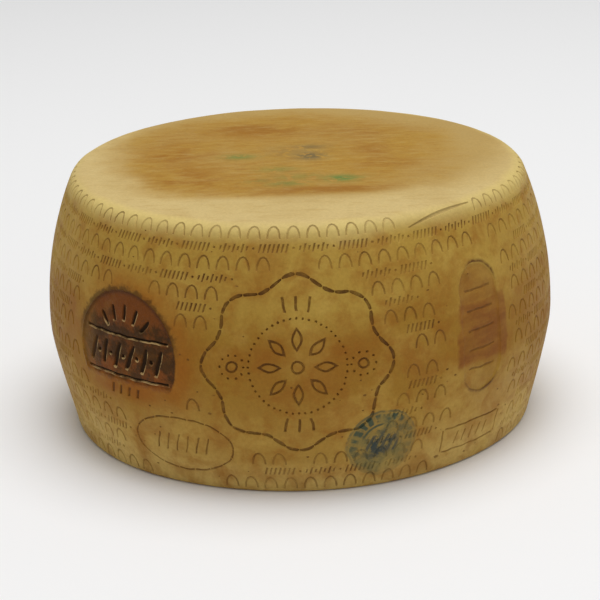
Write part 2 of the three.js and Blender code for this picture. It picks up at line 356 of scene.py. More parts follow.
def uneven(outline, rough=1.0, step=2.5):
    """An outline with more corners, each shifted a little, as a worn mould or a hot brand leaves it."""
    corners = []
    for a, b in zip(outline, np.roll(outline, -1, axis=0)):
        count = max(round(hypot(*(b - a)) / step), 1)
        corners += [a + (b - a) * i / count for i in range(count)]

    def shift(place, layer):
        slow, fine = [size * noise.noise(Vector((*place, layer + own)) / length)
                      for length, size, own in WEAR]
        return slow + rough * fine
    return np.array(corners) + [[shift(corner, layer) for layer in (0, 10)] for corner in corners]


def painted_highlight_edge(outline):
    """How strong the painted highlight along an outline's edge is at each corner."""
    return np.clip(sum(outward(outline)) @ HIGHLIGHT_SIDE, 0, 1)


# ==== The large marks ====

def medallion_edge(t):
    r = LOBED_RADIUS + LOBE_DEPTH * cos(LOBES * t)
    return (r * cos(t), SQUAT * r * sin(t))


def medallion_stitches():
    widths = RING_LINE * np.array(STITCH)
    return dashes(medallion_edge, **STITCHES, width=widths, steps=len(STITCH) - 1)


def medallion_rings():
    """The petals and small rings: each an outline, and the one within it that stays where it was."""
    start, end = PETAL_ENDS
    petals = [(petal(start, end, PETAL_WIDTH, turn),
               petal(start + PETAL_TIP, end - PETAL_TIP, PETAL_WIDTH - 2 * PETAL_LINE, turn))
              for turn in np.arange(PETALS) * 2 * pi / PETALS]
    return petals + [(disc(radius, x), disc(radius - PETAL_LINE, x)) for radius, x in SMALL_RINGS]


def medallion_lines():
    """The fans of ticks, and the beads round the petals and round the side rings."""
    ticks = fan_of(**MEDALLION_FAN, direction=90) + fan_of(**MEDALLION_FAN, direction=-90)
    beads = np.vstack([disc(radius, x, sides=count) for count, radius, x in BEAD_RINGS])
    return ticks + [disc(BEAD, x, y, sides=8) for x, y in beads]


def round_brand_floor(steps=64, cut_steps=16):
    """The round floor, with a straight lower edge that has corners of its own along it."""
    start = asin(ROUND_BRAND_CUT / ROUND_BRAND_RADIUS)
    a = np.linspace(start, pi - start, steps + 1)
    arc = ROUND_BRAND_RADIUS * np.column_stack([np.cos(a), np.sin(a)])
    cut = arc[-1] + (arc[0] - arc[-1]) * np.linspace(0, 1, cut_steps + 1)[1:-1, None]
    return np.vstack([arc, cut])


def round_brand_bars():
    """Leaning bars, each with a bow of its own."""
    def bar(lean, bow):
        def middle(t):
            return (lean * (t - 0.5) * BAR_HEIGHT + bow * sin(pi * t), (t - 0.5) * BAR_HEIGHT)
        return stroke(middle, 0, 1, BAR_WIDTH)
    places = across(len(BAR_SHAPES), BAR_PITCH)
    return [bar(*shape) + (x, BARS_AT) for shape, x in zip(BAR_SHAPES, places)]


def round_brand_lines():
    """The studs between the bars, the rules above and below them, and the fan."""
    studs = [disc(STUD, x, BARS_AT, sides=10) for x in across(len(BAR_SHAPES) - 1, BAR_PITCH)]
    rules = [rectangle(BRAND_RULE, LINE, at) for at in BRAND_RULES_AT]
    return studs + rules + fan_of(**BRAND_FAN, direction=90, shape=stroke)


def tall_brand_panel(steps=16):
    half_width, half_height = TALL_BRAND_HALF
    a = np.linspace(0, pi, steps + 1)
    arc = np.column_stack([half_width * np.cos(a), half_height - half_width + half_width * np.sin(a)])
    return np.vstack([arc, -arc])


def tall_brand_edge(outline):
    """How dark each corner of the panel's edge is. It was burned at its upper right and round its foot."""
    facing = sum(outward(outline))
    foot = soft_step(-facing[:, 1], 0.8, 1.8)
    return 1.3 * np.maximum(soft_step(facing @ BURNED_SIDE, 0.9, 1.8), foot)


def oval_edge(t):
    return np.multiply(OVAL_HALF, (cos(t), sin(t)))


def oval_lines():
    return dashes(oval_edge, **OVAL_DASHES, width=FINE_LINE, steps=5) + tick_row(**OVAL_TICKS)


def tablet_lines():
    corners = rectangle(*TABLET_SIZE)
    sides = [strip(lambda t, a=a, b=b: a + (b - a) * t, *TABLET_SIDE, FINE_LINE)
             for a, b in zip(corners, np.roll(corners, -1, axis=0))]
    return sides + tick_row(**TABLET_TICKS)


# ==== The strip ====

def triangulated(points, edges):
    """Triangles between points on a plane, as numbers of the points, along all the given edges."""
    points = [Vector(p) for p in points]
    spots, _, faces, sources, _, _ = delaunay_2d_cdt(points, edges, [], 0, 1e-5, True)
    if len(spots) != len(points):
        raise ValueError("two outlines cross")
    own = np.array([source[0] for source in sources])
    return own[np.array(faces)]


class Strip:
    """The side drawn flat: spots with depths, the edges that must be kept, and what is taken where."""

    def __init__(self):
        self.spots, self.depths, self.marks, self.lip_highlights = [], [], [], []
        self.edges, self.sharp = [], []
        shape = (ceil(AROUND / CELL) + 1, ceil(SIDE_LENGTH / CELL) + 1)
        self.taken = np.zeros(shape, bool)  # by an outline, so that nothing crosses it
        self.kept_clear = np.zeros(shape, bool)  # by a large mark, so that the fine pattern stops there
        self.floor = np.zeros(shape)  # depth of the wide pressed floors

    def cells(self, outline):
        """The window of cells round an outline, and which of them it holds."""
        spots = (outline - (SEAM, 0)) / CELL
        low = np.maximum(np.floor(spots.min(axis=0)).astype(int), 0)
        high = np.minimum(np.ceil(spots.max(axis=0)).astype(int) + 1, self.taken.shape)
        x, y = np.meshgrid(np.arange(low[0], high[0]), np.arange(low[1], high[1]), indexing="ij")
        inside = np.zeros(x.shape, bool)
        for (ax, ay), (bx, by) in zip(spots, np.roll(spots, -1, axis=0)):
            if ay != by:
                crosses = (ay > y) != (by > y)
                inside ^= crosses & (x < ax + (y - ay) * (bx - ax) / (by - ay))
        return (slice(low[0], high[0]), slice(low[1], high[1])), inside

    def fits(self, outline, *maps):
        """Whether an outline lies within the strip and meets nothing on the given maps."""
        room = grown(outline, CLEAR / 2)
        low = room > (SEAM + 1, 1)
        high = room < (SEAM + AROUND - 1, SIDE_LENGTH - 1)
        if not (low & high).all():
            return False
        window, inside = self.cells(room)
        return not any((taken[window] & inside).any() for taken in maps)

    def claim(self, taken, outline, value=True):
        window, inside = self.cells(outline)
        taken[window] = np.where(inside, value, taken[window])

    def loop(self, outline, depth, mark, lip=0.0, sharp=True):
        first = len(self.spots)
        count = len(outline)
        self.spots += [tuple(p) for p in outline]
        for values, value in ((self.depths, depth), (self.marks, mark), (self.lip_highlights, lip)):
            values += list(np.broadcast_to(value, count))
        edges = [(first + i, first + (i + 1) % count) for i in range(count)]
        self.edges += edges
        if sharp:
            self.sharp += edges

    def press(self, outline, depth, wall=WALL, tone=1.0):
        """A narrow line or small spot, pressed in to a depth, and darkened by a tone of 0 to 1."""
        self.loop(outline, 0.0, 0.0)
        self.loop(grown(outline, -wall), depth, tone, sharp=False)
        self.claim(self.taken, grown(outline, CLEAR))

    def press_ring(self, outline, inside, depth, tone):
        """A line round an inside that stays where it was."""
        self.press(outline, depth, tone=tone)
        self.loop(grown(inside, WALL), depth, tone, sharp=False)
        self.loop(inside, 0.0, 0.0)

    def press_floor(self, outline, depth, edge_tone=0.0):
        """A wide floor with a rounded edge."""
        shoulder = grown(outline, SHOULDER)
        foot = grown(outline, -FLOOR_WALL)
        self.loop(shoulder, 0.0, 0.0, sharp=False)
        self.loop(outline, depth * SHOULDER_SHARE, edge_tone)
        self.loop(foot, depth, 0.0, sharp=False)
        self.claim(self.taken, grown(shoulder, CLEAR))
        self.claim(self.taken, grown(foot, -CLEAR), False)
        window, inside = self.cells(outline)
        self.floor[window] = np.where(inside, depth, self.floor[window])

    def press_into_floor(self, line, floor, depth, wall=WALL, tone=1.0):
        """A line pressed deeper into a wide floor, with a worn lip round it that is painted lighter along
        its lower right as a highlight.
        """
        self.loop(grown(line, LIP), floor, 0.0, sharp=False)
        # Painted highlight: each corner of the lip gets the strength of the lighter colour painted along its
        # lower right.
        self.loop(line, floor + LIP_DEPTH, 0.0, lip=painted_highlight_edge(line))
        self.loop(grown(line, -wall), depth, tone, sharp=False)
        self.claim(self.taken, grown(line, LIP + CLEAR))

    def grid(self):
        """The points between the marks, on rows that lie closer over the rounded edges."""
        base = np.linspace(0, LENGTHS[BASE_ROW], FILLET_ROWS // 2, endpoint=False)
        side_rows = round((LENGTHS[RIM_ROW] - LENGTHS[BASE_ROW]) / ROW_STEP)
        side = np.linspace(LENGTHS[BASE_ROW], LENGTHS[RIM_ROW], side_rows, endpoint=False)
        rim = np.linspace(LENGTHS[RIM_ROW], SIDE_LENGTH, FILLET_ROWS)
        rows = np.hstack([base, side, rim])
        columns = SEAM + np.arange(COLUMNS + 1) * AROUND / COLUMNS
        along, up = (a.ravel() for a in np.meshgrid(columns, rows, indexing="ij"))
        cell = (((along - SEAM) / CELL).astype(int), (up / CELL).astype(int))
        border = np.isin(along, columns[[0, -1]]) | np.isin(up, rows[[0, -1]])
        keep = border | ~self.taken[cell]
        count = int(keep.sum())
        self.spots += list(zip(along[keep], up[keep]))
        self.depths += list(self.floor[cell][keep])
        self.marks += [0.0] * count
        self.lip_highlights += [0.0] * count


def placed(outline, place, rough=1.0):
    """An outline moved to its mark's place, with heights turned into lengths up the section."""
    angle, height = place
    moved = np.column_stack([outline[:, 0] + along_to(angle), up_to(outline[:, 1] + height)])
    return uneven(moved, rough)


def keep_clear(side, outline, place, room):
    """Holds the fine pattern back from a mark."""
    side.claim(side.kept_clear, grown(placed(outline, place), room))


def draw_medallion(side):
    for outline in medallion_stitches():
        side.press(placed(outline, MEDALLION), MARK_DEPTH, wall=0.3)
    for outline in medallion_lines():
        side.press(placed(outline, MEDALLION), MARK_DEPTH, tone=0.85)
    for outline, inside in medallion_rings():
        side.press_ring(placed(outline, MEDALLION), placed(inside, MEDALLION), MARK_DEPTH, tone=0.9)
    area = np.array([medallion_edge(t) for t in np.arange(48) * pi / 24])
    keep_clear(side, area, MEDALLION, MARK_ROOM + 0.5)


def draw_round_brand(side):
    floor = round_brand_floor()
    side.press_floor(placed(floor, ROUND_BRAND), MARK_DEPTH)
    for line in round_brand_lines():
        side.press_into_floor(placed(line, ROUND_BRAND), MARK_DEPTH, BURNED_DEPTH)
    for bar in round_brand_bars():
        side.press_into_floor(placed(bar, ROUND_BRAND, rough=1.2), MARK_DEPTH, BURNED_DEPTH, wall=0.9)
    keep_clear(side, floor, ROUND_BRAND, SHOULDER + 0.5)
    for foot in tick_row(**BRAND_FEET):
        side.press(placed(foot, ROUND_BRAND), MARK_DEPTH)
        keep_clear(side, foot, ROUND_BRAND, MARK_ROOM)


def draw_tall_brand(side):
    panel = placed(tall_brand_panel(), TALL_BRAND)
    side.press_floor(panel, MARK_DEPTH, edge_tone=tall_brand_edge(panel))
    for at in across(**TALL_RULES):
        rule = placed(rectangle(TALL_RULE, LINE, at), TALL_BRAND)
        side.press_into_floor(rule, MARK_DEPTH, TOASTED_DEPTH, tone=0.6)
    keep_clear(side, rectangle(*TALL_BRAND_ROOM), TALL_BRAND, 0)


def draw_foot_panels(side):
    """The oval and the tablet. Lines that would cross the medallion's ring are left out."""
    oval = (OVAL, oval_lines(), disc(1, sides=40) * OVAL_HALF)
    tablet = (TABLET, tablet_lines(), rectangle(*TABLET_SIZE))
    for place, lines, area in (oval, tablet):
        outlines = [placed(line, place) for line in lines]
        for outline in [o for o in outlines if side.fits(o, side.taken)]:
            side.press(outline, SHALLOW_DEPTH, tone=0.85)
        keep_clear(side, area, place, MARK_ROOM)


def draw_crease(side, steps=16):
    """The fold that runs up over the rim at the front right, pressed in, with its groove darkened as painted
    shade of the fold.
    """
    (start, low), (end, high) = [(along_to(angle), up_to(height)) for angle, height in CREASE]

    def curve(t):
        return (start + (end - start) * t, low + (high - low) * (1 - max(1 - t, 0) ** CREASE_BEND))
    at_ends, in_middle = CREASE_WIDTHS
    widths = at_ends + (in_middle - at_ends) * np.sin(np.linspace(0, pi, steps + 1))
    # Painted shade: the fold's groove is darkened (tone 0.4) to stand in for the shadow along it.
    side.press(strip(curve, 0, 1, widths, steps), SHALLOW_DEPTH, wall=0.65, tone=0.4)


def field_groups(row):
    """The groups of one row of the fine pattern. Every other group has long and short ticks by turns."""
    pitch = AROUND / GROUPS_ROUND
    up = up_to(FIELD_TOP - row * FIELD_PITCH)
    half = TICKS_IN_GROUP // 2
    for i in range(GROUPS_ROUND):
        along = SEAM + (i + 0.5 + 0.5 * (row % 2)) * pitch
        outlines = []
        for j in range(-half, half + 1):
            height = TICK_HEIGHT * (SHORT_TICK if (i + row) % 2 and j % 2 else 1.0)
            outlines.append(tick(FIELD_LINE, height) + (j * TICK_PITCH, 0))
        outlines.append(disc(DOT, pitch / 2, sides=7))
        yield [outline + (along, up) for outline in outlines]


def field_arches(row):
    """The string of arches that runs round above one row of the fine pattern."""
    pitch = AROUND / (GROUPS_ROUND * ARCHES_PER_GROUP)
    foot = up_to(FIELD_TOP - (row - 0.5) * FIELD_PITCH) - ARCH_HEIGHT / 2
    for i in range(GROUPS_ROUND * ARCHES_PER_GROUP):
        along = SEAM + (i + 0.5 * (row % 2)) * pitch

        def arch(t, along=along):
            return (along - ARCH_HALF_WIDTH * cos(t), foot + ARCH_HEIGHT * sin(t))
        yield [strip(arch, 0.0, pi, FIELD_LINE, steps=8)]


def draw_field(side):
    """Rows of arches and of groups of ticks. What doesn't fit whole beside a large mark is left out."""
    draw = np.random.default_rng(7)
    for row in range(FIELD_ROWS + 1):
        groups = list(field_groups(row)) if row < FIELD_ROWS else []
        for figures, tone in ((groups, TICK_TONE), (list(field_arches(row)), ARCH_TONE)):
            whole = [f for f in figures if all(side.fits(o, side.taken, side.kept_clear) for o in f)]
            for outline in [o for figure in whole for o in figure]:
                patch = noise.noise(Vector((*outline[0], 0)) / FAINT_PATCH)
                side.press(outline, draw.uniform(*FIELD_DEPTHS), 0.5, tone * (0.9 + 0.8 * patch))


def draw_pits(side):
    """Small pits and nicks of uneven shape, a few of them larger, wherever there is room."""
    draw = np.random.default_rng(11)
    for _ in range(PITS):
        place = (SEAM + draw.uniform(0.01, 0.99) * AROUND, draw.uniform(0.03, 0.95) * SIDE_LENGTH)
        radius = draw.uniform(0.5, 1.0) + 1.2 * draw.uniform() ** 6
        bumps = draw.uniform(0.75, 1.2, 7)
        depth = radius * draw.uniform(0.25, 0.5)
        outline = disc(radius, sides=7) * bumps[:, None] * (draw.uniform(1, 1.8), 1) + place
        if side.fits(outline, side.taken):
            side.press(outline, depth, wall=radius * 0.4)


# ==== The mesh ====

def disc_points(ring, step):
    """Points spread evenly within a ring of points, in rows set half a step apart."""
    radius = np.hypot(*ring.T).min() - step * 0.6
    rows = np.arange(-radius, radius, step * sqrt(3) / 2)
    points = [(x, y) for i, y in enumerate(rows)
              for x in np.arange(-radius + (i % 2) * step / 2, radius, step) if hypot(x, y) < radius]
    return np.array(points)


def flat_face(points, ring, step, height=0.0, crown=0.0):
    """The new points of a flat face within a ring of the given points, and the face's triangles."""
    inner = disc_points(points[ring, :2], step)
    edges = [(i, (i + 1) % len(ring)) for i in range(len(ring))]
    faces = triangulated(np.vstack([points[ring, :2], inner]), edges)
    own = np.hstack([ring, len(points) + np.arange(len(inner))])
    share = np.hypot(*inner.T) / TOP_RADIUS
    return np.column_stack([inner, height + crown * (1 - share ** 2)]), own[faces]


def weathered(points, facing):
    """Points sunk square to the surface, by broad hollows and finer unevenness. The base stays flat."""
    hollows = [sum(depth * noise.noise(Vector(p) / length) for length, depth in HOLLOWS) for p in points]
    sunk = np.maximum(0.2 - np.array(hollows), 0) + 0.15
    sunk *= np.clip(points[:, 2] / 12, 0, 1)
    out = points[:, :2] / np.maximum(np.hypot(*points[:, :2].T), 1)[:, None]
    return points - np.column_stack([out * (sunk * np.cos(facing))[:, None], sunk * np.sin(facing)])


def blob(points, x, y, wide, tall):
    """A soft spot: 1 in its middle, fading over its half width and half height."""
    return np.exp(-((points[:, 0] - x) / wide) ** 2 - ((points[:, 1] - y) / tall) ** 2)


# Stains on the side: angle, height, half width and half height in millimetres, and strength.
SIDE_STAINS = (
    (-25, 112, 20, 42, 1.0), (-27, 84, 26, 20, 0.7), (-8, 119, 46, 15, 0.85), (9, 121, 46, 14, 0.9),
    (2, 104, 70, 26, 0.7), (16, 112, 26, 22, 0.6), (-34, 158, 46, 18, 0.7), (-60, 120, 40, 60, 0.6),
    (-39, 30, 8, 40, 0.85), (-52, 60, 30, 26, 0.35), (-8, 14, 90, 4, 0.6), (22, 10, 70, 6, 0.4),
    (38, 206, 22, 7, 0.6), (52, 196, 30, 9, 0.35), (-12, 168, 30, 12, 0.35), (30, 152, 24, 22, 0.5),
    (32, 110, 20, 40, 0.4), (60, 120, 46, 55, 0.5), (-20, 52, 34, 12, 0.3), (4, 78, 36, 10, 0.45),
    (-40.5, 79, 40, 11, 1.5), (118, 90, 60, 50, 0.5), (150, 170, 60, 20, 0.4), (205, 60, 70, 30, 0.5),
    (238, 130, 50, 50, 0.5),
)
# Brown places, ink and smudges on the top: x, y, half width, half depth, strength.
TOP_STAINS = (
    (-98, -50, 34, 38, 0.9), (-104, 25, 24, 34, 0.9), (-30, 105, 45, 30, 1.0), (70, 25, 22, 24, 0.8),
    (70, -20, 26, 18, 0.8), (30, -98, 80, 12, 0.9), (-62, -70, 50, 26, 0.8), (60, 90, 40, 24, 0.5),
)
GREEN_INK = (
    (38, -66, 15, 10, 1.1), (-48, 9, 14, 8, 0.8), (-15, -33, 16, 9, 0.45), (-7, -77, 16, 8, 0.6),
    (-30, -66, 10, 6, 0.4), (2, -58, 22, 9, 0.4),
)
SMUDGES = ((12, 6, 13, 12, 1.1), (13, 35, 14, 9, 0.7), (2, 18, 24, 22, 0.35))


def strongest(points, places):
    """How strong the strongest of some soft spots is at each point."""
    strengths = [strength * blob(points, x, y, wide, tall) for x, y, wide, tall, strength in places]
    return np.max(strengths, axis=0)


def looks(spots, points, on_side):
    """What the rind's colours depend on, worked out point by point."""
    side_stains = [(along_to(angle), up_to(height), *rest) for angle, height, *rest in SIDE_STAINS]
    stain = np.where(on_side, strongest(spots, side_stains), strongest(points, TOP_STAINS))
    return {"stain": stain, "green": strongest(points, GREEN_INK) * ~on_side,
            "smudge": strongest(points, SMUDGES) * ~on_side}


def joined_ends(spots):
    """Each spot's number, where the strip's right end gives way to its left end, which it meets."""
    own = np.arange(len(spots))
    left = np.flatnonzero(np.isclose(spots[:, 0], SEAM))
    right = np.flatnonzero(np.isclose(spots[:, 0], SEAM + AROUND))
    own[right[np.argsort(spots[right, 1])]] = left[np.argsort(spots[left, 1])]
    return own


def rind_mesh():
    """The points, their places on the strip, the faces of the three parts, and what goes with them."""
    side = Strip()
    for draw in (draw_medallion, draw_round_brand, draw_tall_brand, draw_foot_panels,
                 draw_crease, draw_field, draw_pits):
        draw(side)
    side.grid()
    spots = np.array(side.spots)
    side_faces = triangulated(spots, side.edges)
    own = joined_ends(spots)

    def edge_ring(up):
        at = np.flatnonzero(np.isclose(spots[:, 1], up) & (own == np.arange(len(spots))))
        return at[np.argsort(spots[at, 0])]
    points = wrap(spots, np.array(side.depths))
    top, top_faces = flat_face(points, edge_ring(SIDE_LENGTH), TOP_STEP, HEIGHT, CROWN)
    points = np.vstack([points, top])
    base, base_faces = flat_face(points, edge_ring(0.0), BASE_STEP)
    points = np.vstack([points, base])

    added = len(points) - len(spots)
    flat = np.vstack([spots, np.full((added, 2), -1000.0)])
    values = looks(flat, points, np.arange(len(points)) < len(spots))
    values["mark"] = np.hstack([side.marks, np.zeros(added)])
    values["lip"] = np.hstack([side.lip_highlights, np.zeros(added)])
    facing = np.hstack([np.interp(spots[:, 1], LENGTHS, FACINGS), np.full(len(top), pi / 2),
                             np.full(len(base), -pi / 2)])
    own = np.hstack([own, np.arange(len(spots), len(points))])
    parts = [side_faces, top_faces, base_faces[:, ::-1]]
    return settle(weathered(points, facing)) * MM, flat, parts, own, values, side.sharp


ATLAS = 884.0  # millimetres across the baking map
ATLAS_GAP = 8.0
BELTS = 3  # stretches that the strip is cut into on the baking map


def baking_places(corners, part, points):
    """Where each face corner goes on the baking map: the strip in three belts, and the two flat faces."""
    if part == 0:
        belt_length = AROUND / BELTS
        belt = np.floor((corners[..., 0].mean(axis=1) - SEAM) / belt_length).clip(0, BELTS - 1)
        x = corners[..., 0] - SEAM - (belt * belt_length)[:, None] + ATLAS_GAP
        y = corners[..., 1] + (belt * (SIDE_LENGTH + 2 * ATLAS_GAP))[:, None] + ATLAS_GAP
        return np.stack([x, y], axis=-1) / ATLAS
    middle = np.array([AROUND / BELTS + 3 * ATLAS_GAP + BASE_RADIUS, ATLAS_GAP + BASE_RADIUS])
    middle[1] += (part - 1) * (2 * BASE_RADIUS + 2 * ATLAS_GAP)
    return (points / MM + middle) / ATLAS


def add_object(name, data):
    thing = bpy.data.objects.new(name, data)
    bpy.context.scene.collection.objects.link(thing)
    return thing


def mark_sharp(mesh, sharp):
    """Keeps the shading from running smoothly over some edges, each given by its two points."""
    ends = np.zeros(len(mesh.edges) * 2, np.int32)
    mesh.edges.foreach_get("vertices", ends)
    kept = {tuple(sorted(pair)) for pair in sharp.tolist()}
    is_sharp = [tuple(sorted(pair)) in kept for pair in ends.reshape(-1, 2).tolist()]
    mesh.attributes.new("sharp_edge", "BOOLEAN", "EDGE").data.foreach_set("value", is_sharp)


def rind_object():
    points, flat, parts, own, values, sharp = rind_mesh()
    off_strip = np.full((len(parts[1]) + len(parts[2]), 3, 2), -1.0)
    strip_corners = np.vstack([flat[parts[0]] * MM, off_strip])
    baked = np.vstack([baking_places(flat[f], i, points[f][..., :2]) for i, f in enumerate(parts)])
    faces = own[np.vstack(parts)]

    used = np.unique(faces)
    renumber = np.full(len(points), -1)
    renumber[used] = np.arange(len(used))
    mesh = bpy.data.meshes.new("rind")
    mesh.from_pydata(points[used].tolist(), [], renumber[faces].tolist())
    mesh.update()
    for name, uv in (("OFBake", baked), ("Unrolled", strip_corners)):
        layer = mesh.uv_layers.new(name=name)
        layer.uv.foreach_set("vector", uv.astype(np.float32).ravel())
    for name, value in values.items():
        attribute = mesh.attributes.new(name, "FLOAT", "POINT")
        attribute.data.foreach_set("value", value[used].astype(np.float32))
    mesh.shade_smooth()
    mark_sharp(mesh, renumber[own[sharp]])
    return add_object("rind", mesh)


# ==== The rind's material ====

class Nodes:
    """Short names for the shader nodes that a material is made of."""

    def __init__(self, name):
        self.material = bpy.data.materials.new(name)
        self.material.use_nodes = True
        self.tree = self.material.node_tree
        self.surface = self.tree.nodes["Principled BSDF"]

    def put(self, socket, value):
        if isinstance(value, bpy.types.NodeSocket):
            self.tree.links.new(value, socket)
        else:
            socket.default_value = value

    def add(self, kind, **settings):
        """A new node, with values or links for its inputs and values for its other settings."""
        node = self.tree.nodes.new("ShaderNode" + kind)
        for name, value in settings.items():
            if name in node.inputs:
                self.put(node.inputs[name], value)
            else:
                setattr(node, name, value)
        return node

    def filled(self, node, *values):
        """A node's first output, once its inputs are given in order."""
        for socket, value in zip(node.inputs, values):
            self.put(socket, value)
        return node.outputs[0]

    def coat(self, inputs):
        """The material, with its surface's inputs given by name."""
        for name, value in inputs.items():
            self.put(self.surface.inputs[name], value)
        return self.material

    def value_of(self, attribute):
        return self.add("Attribute", attribute_name=attribute).outputs["Fac"]

    def position(self, stretch=(1, 1, 1)):
        own = self.add("TexCoord").outputs["Object"]
        return self.add("Mapping", Scale=stretch, Vector=own).outputs["Vector"]

    def split(self, vector):
        return self.add("SeparateXYZ", Vector=vector).outputs

    def from_mark(self, place):
        """Metres right of a mark's middle along the side, and up from it."""
        along, up, _ = self.split(self.add("UVMap", uv_map="Unrolled").outputs["UV"])
        angle, height = place
        return self.plus(along, -along_to(angle) * MM), self.plus(up, -float(up_to(height)) * MM)

    def length(self, x, y):
        return self.math("SQRT", self.plus(self.times(x, x), self.times(y, y)))

    def math(self, operation, *values):
        return self.filled(self.add("Math", operation=operation), *values)

    def times(self, first, *others):
        for value in others:
            first = self.math("MULTIPLY", first, value)
        return first

    def plus(self, first, *others):
        for value in others:
            first = self.math("ADD", first, value)
        return first

    def larger(self, a, b):
        return self.math("MAXIMUM", a, b)

    def ramp(self, value, low, high, to_low=0.0, to_high=1.0):
        """A smooth change from one value to another while the input goes from low to high."""
        node = self.add("MapRange", interpolation_type="SMOOTHSTEP")
        return self.filled(node, value, low, high, to_low, to_high)

    def noise(self, scale, detail=3.0, roughness=0.55, stretch=(1, 1, 1), warp=0.0):
        node = self.add("TexNoise", Vector=self.position(stretch), Scale=scale, Detail=detail,
                        Roughness=roughness, Distortion=warp)
        return node.outputs["Fac"]

    def wobble(self, size, *noise):
        """A noise that wanders about 0, by up to half a size either way."""
        return self.times(self.plus(self.noise(*noise), -0.5), size)

    def mix(self, factor, a, b, blend="MIX"):
        node = self.add("Mix", data_type="RGBA", blend_type=blend)
        for i, value in ((0, factor), (6, a), (7, b)):
            self.put(node.inputs[i], value)
        return node.outputs[2]


GOLD = colour(179, 144, 62)
GOLD_BROWN = colour(160, 120, 42)
# Painted light for the lower side: it stands in for light reflected there and offsets the shade where the
# wheel meets the floor.
FOOT_PAINTED_LIGHT = colour(206, 174, 99)
GOLD_LIGHT = colour(194, 160, 77)
CLOUD_BROWN = colour(147, 91, 24)
# Pale rim: partly the rind's own paler edge, partly a painted highlight along the rim.
RIM_PALE_AND_HIGHLIGHT = colour(214, 190, 118)
TOP_PALE = colour(204, 179, 120)
TOP_GREY = colour(180, 149, 86)
TOP_STAIN = colour(172, 133, 54)
TOP_STAIN_DEEP = colour(154, 106, 32)
LINE_BROWN = colour(98, 62, 28)
TOAST_BROWN = colour(152, 101, 38)
TOAST_RED = colour(133, 79, 29)
GLOW_BROWN = colour(156, 94, 22)
SCORCH_DARK = colour(75, 47, 17)
SCORCH_RED = colour(129, 71, 23)
CHAR = colour(48, 29, 8)
# Painted highlight on the lips of the lines in the round brand's floor.
LIP_HIGHLIGHT = colour(196, 162, 106)
INK_BLUE = colour(42, 60, 66)
INK_TEAL = colour(60, 76, 62)
INK_WASH = colour(112, 108, 66)
INK_GREEN = colour(98, 124, 58)
SMUDGE_GREY = colour(104, 92, 60)


def side_colour(n):
    """Gold, browner round the middle of the side, in uneven patches, with orange-brown clouds, and painted
    light on its lowest part.
    """
    x, _, z = n.split(n.position())
    height = n.plus(z, n.wobble(0.09, 10, 4))
    base = n.mix(n.ramp(height, 0.125, 0.165), GOLD_BROWN, GOLD)
    # Painted light: the lower side is lightened, least at the front and most towards the wheel's left and
    # right sides, in place of light reflected at those edges.
    foot = n.times(n.ramp(height, 0.100, 0.0), n.ramp(n.math("ABSOLUTE", x), 0.05, 0.17, 0.3, 1.0))
    base = n.mix(foot, base, FOOT_PAINTED_LIGHT)
    # Painted light: the lowest few centimetres are lightened to offset the shade where the wheel meets the
    # floor.
    base = n.mix(n.ramp(z, 0.034, 0.008, 0, 0.85), base, FOOT_PAINTED_LIGHT)
    base = n.mix(n.ramp(n.noise(26, 5, 0.6), 0.44, 0.68, 0, 0.5), base, GOLD_LIGHT)
    base = n.mix(n.ramp(n.noise(34, 4, 0.6, warp=0.6), 0.46, 0.70, 0, 0.48), base, CLOUD_BROWN)
    base = n.mix(n.ramp(n.noise(85, 4, 0.6), 0.46, 0.68, 0, 0.35), base, CLOUD_BROWN)
    clouds = n.times(n.value_of("stain"), n.ramp(n.noise(30, 5, 0.65, warp=0.5), 0.34, 0.62, 0.32, 1.0))
    return n.mix(n.times(clouds, 0.85), base, CLOUD_BROWN)


def top_colour(n):
    """The upper face: pale towards the front, and stained brown in the middle, with ink and smudges."""
    x, y, _ = n.split(n.position())
    wobble = n.wobble(0.09, 11, 4, 0.6)
    patches = n.noise(20, 5, 0.6, warp=0.4)
    flecks = n.noise(75, 5, 0.65, stretch=(0.6, 1.1, 1), warp=0.3)
    pale = n.ramp(n.plus(n.length(n.plus(x, -0.022), n.plus(y, -0.055)), n.times(wobble, 0.6)), 0.140, 0.200)
    base = n.mix(n.times(pale, n.ramp(patches, 0.4, 0.7, 1.0, 0.7)), TOP_GREY, TOP_PALE)
    stain = n.ramp(n.plus(n.length(n.plus(x, 0.012), n.plus(y, -0.012)), wobble), 0.172, 0.112)
    stain = n.times(stain, n.ramp(n.plus(y, n.times(wobble, 0.25)), -0.122, -0.104))
    base = n.mix(n.times(stain, n.ramp(patches, 0.35, 0.62, 1.0, 0.7)), base, TOP_STAIN)
    mottle = n.plus(n.times(patches, 0.65), n.times(flecks, 0.45))
    deep = n.times(n.plus(n.times(n.value_of("stain"), 1.15), 0.15), n.ramp(mottle, 0.42, 0.62, 0.15, 1.0))
    base = n.mix(n.times(deep, stain), base, TOP_STAIN_DEEP)
    streaks = n.noise(120, 4, 0.7, stretch=(0.4, 1.5, 1), warp=0.2)
    base = n.mix(n.times(n.ramp(streaks, 0.48, 0.72, 0.0, 0.6), stain), base, TOP_STAIN_DEEP)
    base = n.mix(n.ramp(streaks, 0.5, 0.3, 0.0, 0.45), base, TOP_GREY)
    strokes = n.ramp(n.noise(110, 2, 0.5, warp=0.8), 0.36, 0.50)
    base = n.mix(n.times(n.value_of("smudge"), strokes, 0.85), base, SMUDGE_GREY)
    return n.mix(n.times(n.value_of("green"), strokes, 0.9), base, INK_GREEN)


